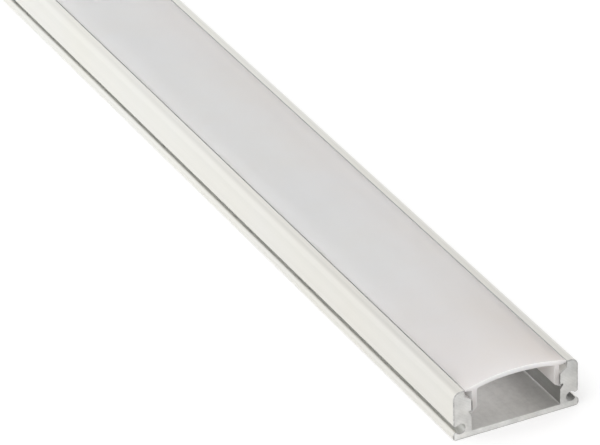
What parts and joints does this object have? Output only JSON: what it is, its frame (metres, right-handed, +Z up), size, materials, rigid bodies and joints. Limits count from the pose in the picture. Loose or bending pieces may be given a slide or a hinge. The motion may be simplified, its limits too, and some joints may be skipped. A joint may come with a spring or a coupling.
{
  "type": "led strip aluminium profile",
  "caption": "Shallow surface-mounted aluminium channel for a 12 mm light strip, with clip grooves along its sides and a domed opal cover that snaps or slides in.",
  "frame": {"origin": "middle of the base, halfway along the length", "axes": "+X along the length towards the end that the picture shows, +Y across the width, +Z up from the base to the cover"},
  "size_m": [0.5, 0.0174, 0.0077],
  "materials": {
    "aluminium": "satin anodised, saw-cut ends",
    "opal": "smooth satin opal, translucent"
  },
  "bodies": {
    "channel": {"channel": "aluminium"},
    "diffuser": {"diffuser": "opal"}
  },
  "joints": [
    {"name": "diffuser_slide", "type": "slide", "parent": "channel", "child": "diffuser", "axis": [1, 0, 0], "range_m": [-0.49, 0.49]}
  ]
}
